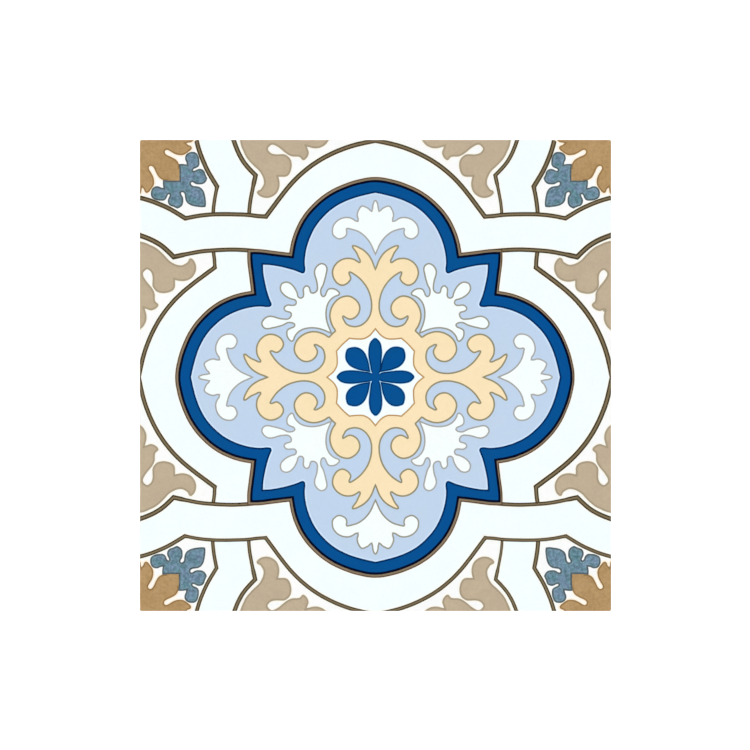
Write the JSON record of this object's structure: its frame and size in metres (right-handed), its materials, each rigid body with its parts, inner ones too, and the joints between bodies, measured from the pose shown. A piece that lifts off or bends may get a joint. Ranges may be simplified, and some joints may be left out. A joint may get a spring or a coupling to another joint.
{
  "type": "porcelain floor tile",
  "caption": "Square patterned porcelain floor tile with a glazed face, eased arris, bevelled lower edge and ribbed waffle back for bedding in adhesive",
  "frame": {"origin": "middle of the back of the tile, level with the tips of the bedding ribs", "axes": "+Z points out of the glazed walking face, +X to the right and +Y up the face as the picture shows it"},
  "size_m": [0.2, 0.2, 0.009],
  "materials": {
    "glazed_porcelain": "satin"
  },
  "bodies": {
    "root": {"porcelain_tile": "glazed_porcelain"}
  },
  "joints": []
}
